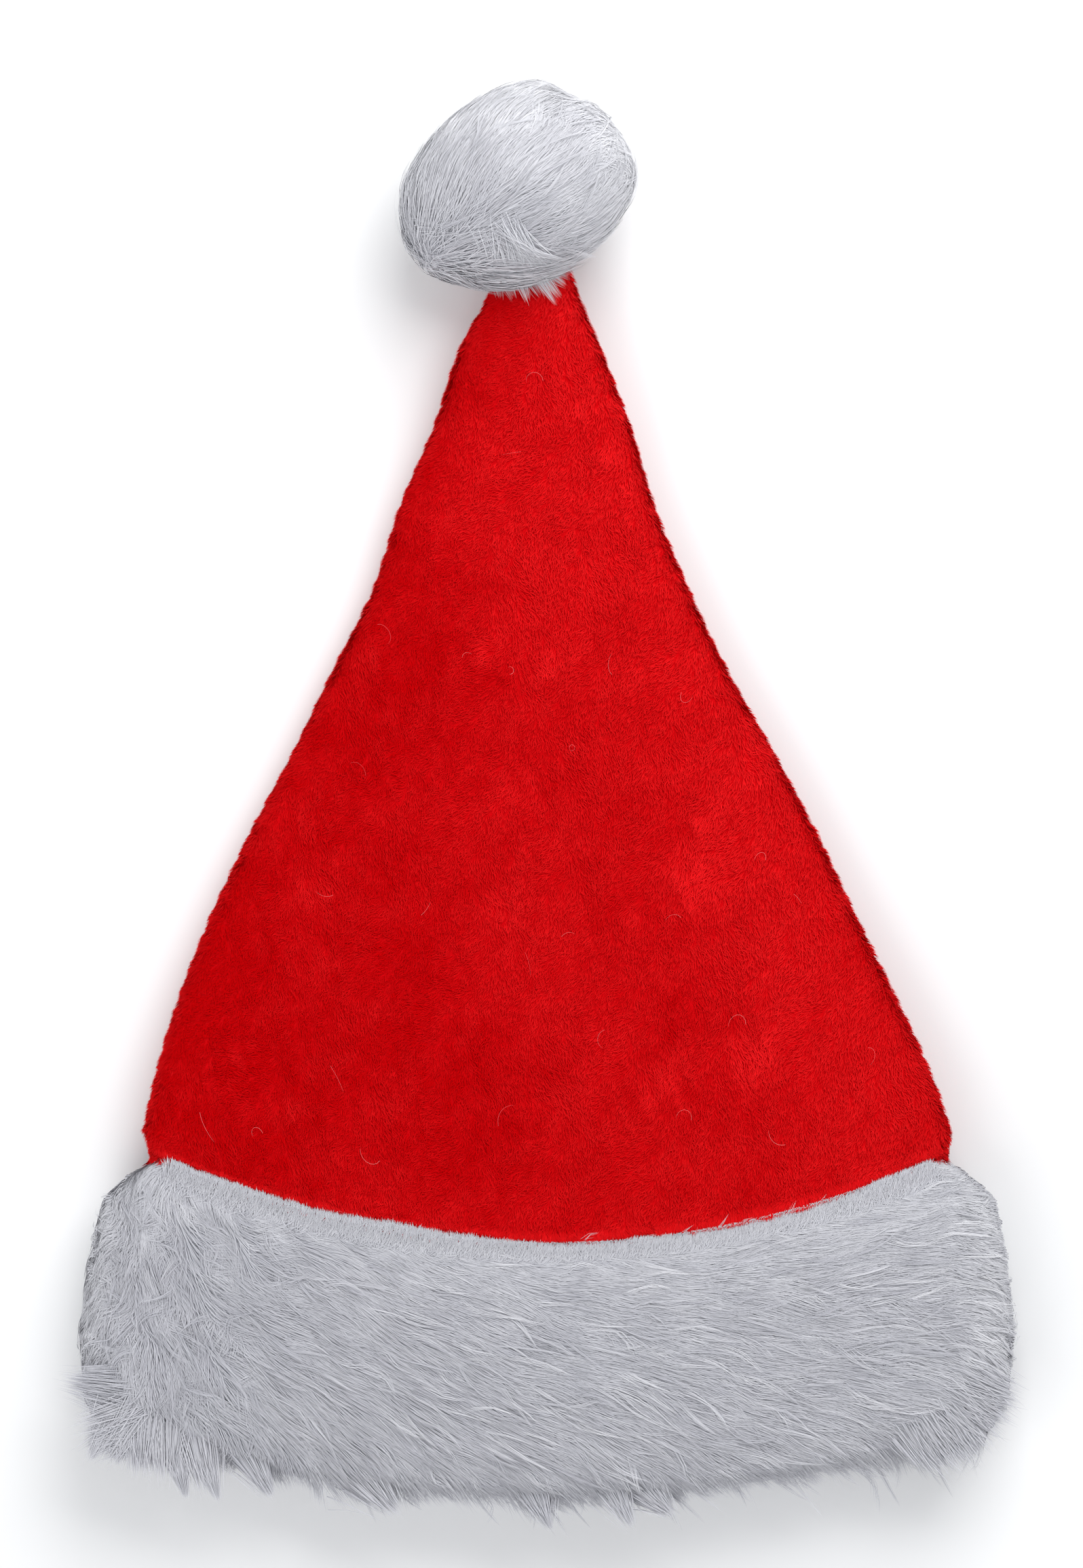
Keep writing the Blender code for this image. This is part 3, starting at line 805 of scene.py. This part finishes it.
def make_cuff_backing(material):
    """The fur's ground: its knitted inside, and the underfur that the hairs stand in."""
    count = 180
    shares = (-0.09, 0.2, 0.5, 0.8, 1.03)
    inside = [ring_of(HEM_Y - a * CUFF_HEIGHT, -SEAM_GAP - BACKING, count, True) for a in shares]
    levels = HEM_Y - np.linspace(1.04, 0.01, 40) * CUFF_HEIGHT
    fur = [ring_of(y, -GROUND_DEPTH, count) for y in levels]
    lap = [ring_of(HEM_Y - a * CUFF_HEIGHT, -SEAM_GAP, count, True) for a in (0.01, -0.09)]
    rings = [np.maximum(ring, (-1, -1, CLEARANCE)) for ring in inside + fur + lap]
    faces = tube_faces(len(rings), count, closed=True)
    return new_piece("cuff_backing", np.concatenate(rings), faces, material, "cuff")


def cuff_flow(edge_y, distance):
    """Which way the fur is stroked at places round the cuff: 0 is to the right of the photograph along the
    front, and a right angle is straight down to the mouth."""
    along = (HEM_Y - edge_y) / CUFF_HEIGHT
    across = -distance / half_girth(edge_y)[0]
    lean = np.interp(along, (0.0, 0.25, 0.55, 0.80, 0.95, 1.05), (14, 18, 22, 32, 52, 68))
    lean = lean - 9 * np.clip(across, -1, 1.4) * np.clip(1.2 - along, 0, 1)
    lean = lean + 105 * np.clip((-across - 0.75) / 0.35, 0, 1) * np.clip(1.5 - along, 0.3, 1)
    wander = 9 * drift(edge_y, distance, 0.040, 7) + 9 * drift(edge_y, distance, 0.013, 8)
    curls = 85 * drift(edge_y, distance, 0.006, 9) * np.clip((-across - 0.50) / 0.3, 0, 1)
    return np.radians(lean + wander + curls)


def hat_paths(edge_y, distance, length, rise, heading, bend, steps, sway=0.0):
    """Paths over the hat that leave the ground, rise and lie over. Each sets out along its heading, which
    is 0 to the right of the photograph and a right angle down the hat, and bends and sways by this much on
    its way."""
    shares = np.linspace(0, 1, steps)[None, :]
    swaying = (sway * chance.normal(0, 1, len(heading)))[:, None] * np.cos(math.tau * shares)
    turning = heading[:, None] + bend[:, None] * (shares - 0.4) + swaying
    stride = (length / (steps - 1))[:, None] * (shares > 0)
    lift = -FUR_ROOT_DEPTH + (rise[:, None] + FUR_ROOT_DEPTH) * (1 - (1 - shares) ** 2)
    levels = edge_y[:, None] - np.cumsum(np.sin(turning) * stride, axis=1)
    rounds = distance[:, None] - np.cumsum(np.cos(turning) * stride, axis=1)
    return np.stack((levels, rounds, lift), axis=2)


def cuff_growth(count, seed, back, wildness, steps, sway=0.0):
    """Paths from even roots over the front or the back of the cuff, along its flow."""
    first, second = even_points(count, seed)
    edge_y = HEM_Y - (0.004 + 0.98 * first) * CUFF_HEIGHT
    reach, fold = half_girth(edge_y)
    distance = (second * 2 - 1) * (reach + fold * (0.38 if back else 0.62))
    distance = np.where(back, 2 * reach + fold - distance, distance)
    along = (HEM_Y - edge_y) / CUFF_HEIGHT
    length = np.interp(along, (0, 0.1, 0.4, 0.8, 0.93, 1.0), (0.010, 0.018, 0.024, 0.023, 0.018, 0.013))
    length = length * (1 - 0.35 * np.clip((distance / reach - 0.6) / 0.3, 0, 1))
    lobes = 0.25 * drift(distance, 0 * distance, 0.016, 31)
    lobes = lobes + 0.15 * drift(distance, 0 * distance, 0.006, 32)
    length = length * (1 + lobes * np.clip((along - 0.7) / 0.3, 0, 1))
    length = length * chance.uniform(1 - wildness, 1 + 0.5 * wildness, count)
    rises = (0.0004, 0.0012, 0.0020, 0.0022, 0.0014, 0.0006)
    rise = np.interp(along, (0, 0.08, 0.3, 0.7, 0.95, 1.0), rises)
    rise = rise * chance.uniform(0.2, 1.8, count) * (0.4 if back else 1.0)
    heading = cuff_flow(edge_y, distance) + chance.normal(0, 0.5 * wildness, count)
    bend = chance.normal(0, 0.9 * wildness, count)
    return hat_paths(edge_y, distance, length, rise, heading, bend, steps, sway)


def make_cuff_fur(name, count, back, material):
    """The undercoat of the cuff: fine hairs in soft tufts, and these in wide locks. It is cottony at the
    left end."""
    seed = 140 + 10 * back
    locks = cuff_growth(160, seed, back, 0.4, 3)
    tufts, lock_of_tuft = gathered(cuff_growth(2400, seed + 1, back, 0.3, 3), locks, 0.3)
    hairs, tuft_of_hair = gathered(cuff_growth(count, seed + 2, back, 0.2, 3), tufts, 0.45)
    hairs[:, :, 2] *= 0.45
    edge_y, distance = hairs[:, 0, 0], hairs[:, 0, 1]
    cottony = np.clip((distance / half_girth(edge_y)[0] - 0.45) / 0.25, 0, 1) * (1 - back)
    along = (HEM_Y - edge_y) / CUFF_HEIGHT
    # Each lock and tuft is a little lighter or darker at random, which also paints the light and shade of
    # their relief
    tone = 0.08 * chance.uniform(0, 1, len(locks))[lock_of_tuft[tuft_of_hair]]
    tone = tone + 0.28 * (1 - 0.5 * cottony) * chance.uniform(0, 1, len(tufts))[tuft_of_hair]
    # At the cottony left end, painted light and shade of its clumps
    tone = tone + cottony * (0.08 + 0.16 * drift(edge_y, distance, 0.006, seed + 3))
    # Paler towards the hem, and paler towards the mouth as painted light where the fur turns away from the
    # lamps
    tone = tone + 0.15 * np.clip(1 - along / 0.3, 0, 1) + 0.07 * np.clip((along - 0.7) / 0.3, 0, 1)
    # Painted light: paler towards the right end of the front (negative distance)
    tone = tone + 0.12 * np.clip(-distance / half_girth(edge_y)[0], 0, 1) * (1 - back)
    tone = np.clip(tone + 0.02 + 0.08 * chance.uniform(0, 1, count), 0, 1)
    width = chance.uniform(0.00020, 0.00032, count)
    return coat(name, hairs, on_hat, width, tone, material, "cuff", "white_fur")


def make_cuff_locks(name, count, back, material):
    """The longer locks over the undercoat, each slim, swayed and drawn to a bright point."""
    locks = cuff_growth(count, 170 + back, back, 0.35, 7, 0.26)
    locks[:, :, 2] *= 0.7
    across = locks[:, :1, 1] / half_girth(locks[:, 0, 0])[0][:, None]
    stretch = 1 + 0.5 * np.clip(0.6 - across, 0, 1)[:, :, None]
    locks[:, :, :2] = locks[:, :1, :2] + (locks[:, :, :2] - locks[:, :1, :2]) * stretch
    hairs = lock_hairs(locks, (0.0012, 0.0012, 0.0002), LOCK_HAIRS, 0.10)
    bright = chance.uniform(0.0, 1.0, len(locks)) ** 1.2 * np.clip(1.2 - across[:, 0], 0.3, 1)
    tone = np.repeat(0.12 + 0.70 * bright, LOCK_HAIRS) * chance.uniform(0.7, 1, len(hairs))
    width = chance.uniform(0.00013, 0.00023, len(hairs))
    return coat(name, hairs, on_hat, width, tone, material, "cuff", "white_fur")


def on_table(x, y, z):
    """Places at these heights over the table, and the way up."""
    return np.stack((x, y, z), axis=1), np.tile((0.0, 0.0, 1.0), (len(x), 1))


def tuft_hairs(tufts, heights, each, steps):
    """Hairs of tufts that are given by where they end. Each hair's path has a last column that goes by
    heights."""
    tuft = Tuft(*np.array(tufts).T)
    heading = np.radians(tuft.heading)
    ways = np.stack((np.cos(heading), -np.sin(heading)), axis=1)
    short = tuft.length[:, None] * (1 - np.linspace(0, 1, steps))
    ends = np.stack((tuft.x, tuft.y), axis=1)
    places = ends[:, None, :] - ways[:, None, :] * short[:, :, None]
    locks = np.concatenate((places, np.tile(heights, (len(tufts), 1))[:, :, None]), axis=2)
    root, tip = (np.repeat(width, each)[:, None, None] for width in (tuft.root, tuft.tip))
    return lock_hairs(locks, root * (1.0, 1.0, 0.3), each, tip / root)


def make_edge_tufts(material):
    """The locks and lobes that stand out of the outline of the cuff."""
    heights = (0.027, 0.033, 0.036, 0.033)
    hairs = tuft_hairs(EDGE_TUFTS, heights, EDGE_HAIRS, len(heights))
    tone = np.repeat(chance.uniform(0.14, 0.28, len(EDGE_TUFTS)), EDGE_HAIRS)
    tone = tone + chance.uniform(0, 0.16, len(hairs))
    width = chance.uniform(0.00020, 0.00032, len(hairs))
    return coat("cuff_edge_tufts", hairs, on_table, width, tone, material, "cuff", "white_fur")


def make_hem_wisps(material):
    """The short fur that lies up over the edge of the plush, and a few wisps that reach further."""
    below = 0.0006 + 0.0090 * chance.uniform(0, 1, HEM_FRINGE) ** 1.6
    edge_y = HEM_Y - below
    distance = chance.uniform(-0.985, 0.985, HEM_FRINGE) * half_girth(edge_y)[0]
    short = -np.interp(-distance, *np.array(VISIBLE_HEM).T)
    short = short + 0.0004 * drift(distance, 0 * distance, 0.003, 61)
    heading = chance.normal(-1.3, 0.4, HEM_FRINGE)
    length = np.clip(below + short + chance.normal(0, 0.0004, HEM_FRINGE), 0.001, 0.006)
    rise = np.full(HEM_FRINGE, 0.0012)
    fringe = hat_paths(edge_y, distance, length, rise, heading, 0 * heading, 4)

    edge_y = HEM_Y - chance.uniform(0.001, 0.004, HEM_WISPS)
    distance = chance.uniform(-0.95, 0.95, HEM_WISPS) * half_girth(edge_y)[0]
    heading, bend = chance.normal(-0.5, 0.3, HEM_WISPS), chance.normal(0.3, 0.8, HEM_WISPS)
    length = chance.uniform(0.004, 0.009, HEM_WISPS)
    wisps = hat_paths(edge_y, distance, length, np.full(HEM_WISPS, 0.0018), heading, bend, 4)
    hairs = np.concatenate((fringe, lock_hairs(wisps, (0.0006, 0.0006, 0.0002), 5)))
    tone = chance.uniform(0.18, 0.42, len(hairs))
    width = chance.uniform(0.0002, 0.0003, len(hairs))
    width[HEM_FRINGE:] *= 0.35
    return coat("cuff_hem_wisps", hairs, on_hat, width, tone, material, "cuff", "white_fur")


# The pompom


def make_pompom_core(material):
    """The pompom's underfur."""
    rings, count = 30, 60
    places = []
    for polar in np.linspace(0.05, math.pi - 0.05, rings):
        turn = np.arange(count) / count * math.tau
        flat, height = math.sin(polar), np.full(count, math.cos(polar))
        ways = np.stack((flat * np.cos(turn), flat * np.sin(turn), height), axis=1)
        places.append(on_pompom(*ways.T, np.full(count, -BALL_GROUND_DEPTH))[0])
    faces = tube_faces(rings, count, closed=False)
    faces += [tuple(reversed(range(count))), tuple(range((rings - 1) * count, rings * count))]
    places = np.maximum(np.concatenate(places), (-1, -1, CLEARANCE))
    return new_piece("pompom_core", places, faces, material, "pompom")


def ball_sweep(ways):
    """The way in which the hairs that stand in these directions from the ball's middle are swept."""
    around = np.degrees(np.arctan2(ways[:, 1], ways[:, 0]))
    angles, headings = np.array(BALL_SWEEP).T
    rim = np.exp(1j * np.radians(headings))
    across, up = (np.interp(around, angles, part, period=360) for part in (rim.real, rim.imag))
    rim = across + 1j * up
    out = np.hypot(ways[:, 0], ways[:, 1]) ** 1.5
    flat = np.exp(1j * math.radians(MIDDLE_SWEEP)) * (1 - out) + rim * out
    return np.stack((flat.real, flat.imag, np.full(len(ways), -0.15)), axis=1)


def ball_growth(count, seed, wildness, steps):
    """Paths over the ball from even roots, along its sweep. Each is a direction from its middle and a lift.
    There are none where the crown's tip is seated."""
    first, second = even_points(count, seed)
    height, turn = 1 - 2 * first, second * math.tau
    flat = np.sqrt(1 - height**2)
    ways = np.stack((flat * np.cos(turn), flat * np.sin(turn), height), axis=1)
    ways = ways[~((ways[:, 1] < -0.93) & (np.abs(ways[:, 2]) < 0.3))]
    count = len(ways)
    comb = ball_sweep(ways) + chance.normal(0, wildness, ways.shape)
    onward = comb - ways * (comb * ways).sum(axis=1)[:, None]
    onward /= np.linalg.norm(onward, axis=1)[:, None]
    aside = np.cross(ways, onward) * chance.normal(0, 0.5 * wildness, count)[:, None]
    shares = np.linspace(0, 1, steps)
    length = chance.uniform(0.018, 0.030, count)
    angle = (length[:, None] / POMPOM_RADII[0] * shares)[:, :, None]
    turned = ways[:, None, :] * np.cos(angle) + onward[:, None, :] * np.sin(angle)
    turned = turned + aside[:, None, :] * (shares**2)[None, :, None]
    rise = chance.uniform(0.0003, 0.0030, count)
    lift = -FUR_ROOT_DEPTH + (rise[:, None] + FUR_ROOT_DEPTH) * (1 - (1 - shares[None, :]) ** 2)
    return np.concatenate((turned, lift[:, :, None]), axis=2)


def ball_shine(paths):
    """How far the middles of these paths over the ball's front lie where its hair catches the light."""
    middle = on_pompom(*paths[:, paths.shape[1] // 2].T)[0]
    return closeness(BALL_SHINE, middle[:, 0], middle[:, 1]) * (middle[:, 2] > POMPOM_CENTRE[2])


def make_pompom_fur(material):
    """The undercoat of the fur ball, in soft tufts and wide locks."""
    locks = ball_growth(60, 300, 0.35, 4)
    tufts, lock_of_tuft = gathered(ball_growth(800, 301, 0.25, 4), locks, 0.35)
    hairs, tuft_of_hair = gathered(ball_growth(BALL_FUR, 302, 0.15, 4), tufts, 0.5)
    hairs[:, :, 3] *= 0.7
    count = len(hairs)
    tone = 0.13 + 0.10 * chance.uniform(0, 1, len(locks))[lock_of_tuft[tuft_of_hair]]
    tone = tone + 0.18 * chance.uniform(0, 1, len(tufts))[tuft_of_hair] + 0.10 * chance.uniform(0, 1, count)
    # Painted highlight where the silky hair catches the light
    tone = tone + 0.30 * ball_shine(hairs)
    width = chance.uniform(0.00022, 0.00036, count)
    return coat("pompom_fur", hairs, on_pompom, width, tone, material, "pompom", "white_fur")


def make_pompom_locks(material):
    """The ball's longer locks, each slim and drawn to a bright point."""
    locks = ball_growth(BALL_LOCKS, 310, 0.3, 6)
    hairs = lock_hairs(locks, (0.035, 0.035, 0.035, 0.0003), LOCK_HAIRS)
    # Brighter at random and towards the right of the ball, and with a painted highlight where the silky hair
    # catches the light
    bright = 0.6 * chance.uniform(0, 1, len(locks)) ** 1.5 * np.clip(0.6 + locks[:, 0, 0], 0.1, 1)
    bright = bright + 0.5 * ball_shine(locks)
    tone = np.repeat(0.22 + 0.62 * bright, LOCK_HAIRS) * chance.uniform(0.75, 1, len(hairs))
    width = chance.uniform(0.00012, 0.00022, len(hairs))
    return coat("pompom_locks", hairs, on_pompom, width, tone, material, "pompom", "white_fur")


def make_seat_wisps(material):
    """The ball's wisps that lie over the tip of the crown."""
    lift = 0.0048 * np.sin(0.9 * math.pi * np.linspace(0.1, 1, 6))
    hairs = tuft_hairs(SEAT_WISPS, lift, WISP_HAIRS, 6)
    tone = chance.uniform(0.3, 0.9, len(hairs))
    width = chance.uniform(0.00011, 0.00020, len(hairs))
    return coat("pompom_seat_wisps", hairs, over_seat, width, tone, material, "pompom", "white_fur")


# The studio


def make_floor():
    """A plain pale table under the hat."""
    finish = Finish("pale_table", Roughness=0.8)
    finish.feed(Base_Color=colour(0.93, 0.93, 0.93))
    mesh = bpy.data.meshes.new("table")
    mesh.from_pydata([(-4, -4, 0), (4, -4, 0), (4, 4, 0), (-4, 4, 0)], [], [(0, 1, 2, 3)])
    mesh.materials.append(finish.material)
    table = bpy.data.objects.new("table", mesh)
    bpy.context.scene.collection.objects.link(table)


def make_lamp(name, place, size, power):
    """A soft square lamp that faces the hat."""
    light = bpy.data.lights.new(name, "AREA")
    light.size, light.energy = size, power
    lamp = bpy.data.objects.new(name, light)
    lamp.location = place
    lamp.rotation_euler = (-lamp.location).to_track_quat("-Z", "Y").to_euler()
    bpy.context.scene.collection.objects.link(lamp)


def make_studio():
    """The table, the lamps, the sky and the camera straight above."""
    make_floor()
    make_lamp("key_softbox", (0.34, 0.78, 0.90), 1.0, 12.5)
    make_lamp("fill_softbox", (-0.9, -0.9, 1.3), 1.4, 10.0)
    world = bpy.data.worlds.new("studio")
    world.use_nodes = True
    sky = world.node_tree.nodes["Background"]
    sky.inputs["Color"].default_value = colour(0.95, 0.97, 1.0)
    sky.inputs["Strength"].default_value = 0.60
    bpy.context.scene.world = world
    bpy.context.scene.view_settings.view_transform = "Standard"

    lens = bpy.data.cameras.new("camera")
    lens.lens = lens.sensor_width * (CAMERA_HEIGHT - FRAME_LEVEL) / FRAME_HEIGHT
    lens.clip_end = 20.0
    camera = bpy.data.objects.new("camera", lens)
    camera.location = (*FRAME_MIDDLE, CAMERA_HEIGHT)
    bpy.context.scene.collection.objects.link(camera)
    bpy.context.scene.camera = camera


def main():
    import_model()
    make_studio()
    red_pile, white_fur, white_backing = red_pile_finish(), white_fur_finish(), white_backing_finish()
    make_crown_cloth(red_cloth_finish())
    make_crown_pile("crown_pile_front", FRONT_PILE, False, red_pile)
    make_crown_pile("crown_pile_back", BACK_PILE, True, red_pile)
    make_stray_hairs(stray_hair_finish())
    make_cuff_backing(white_backing)
    make_cuff_fur("cuff_fur_front", FRONT_FUR, False, white_fur)
    make_cuff_fur("cuff_fur_back", BACK_FUR, True, white_fur)
    make_cuff_locks("cuff_locks_front", FRONT_LOCKS, False, white_fur)
    make_cuff_locks("cuff_locks_back", BACK_LOCKS, True, white_fur)
    make_edge_tufts(white_fur)
    make_hem_wisps(white_fur)
    make_pompom_core(white_backing)
    make_pompom_fur(white_fur)
    make_pompom_locks(white_fur)
    make_seat_wisps(white_fur)


main()
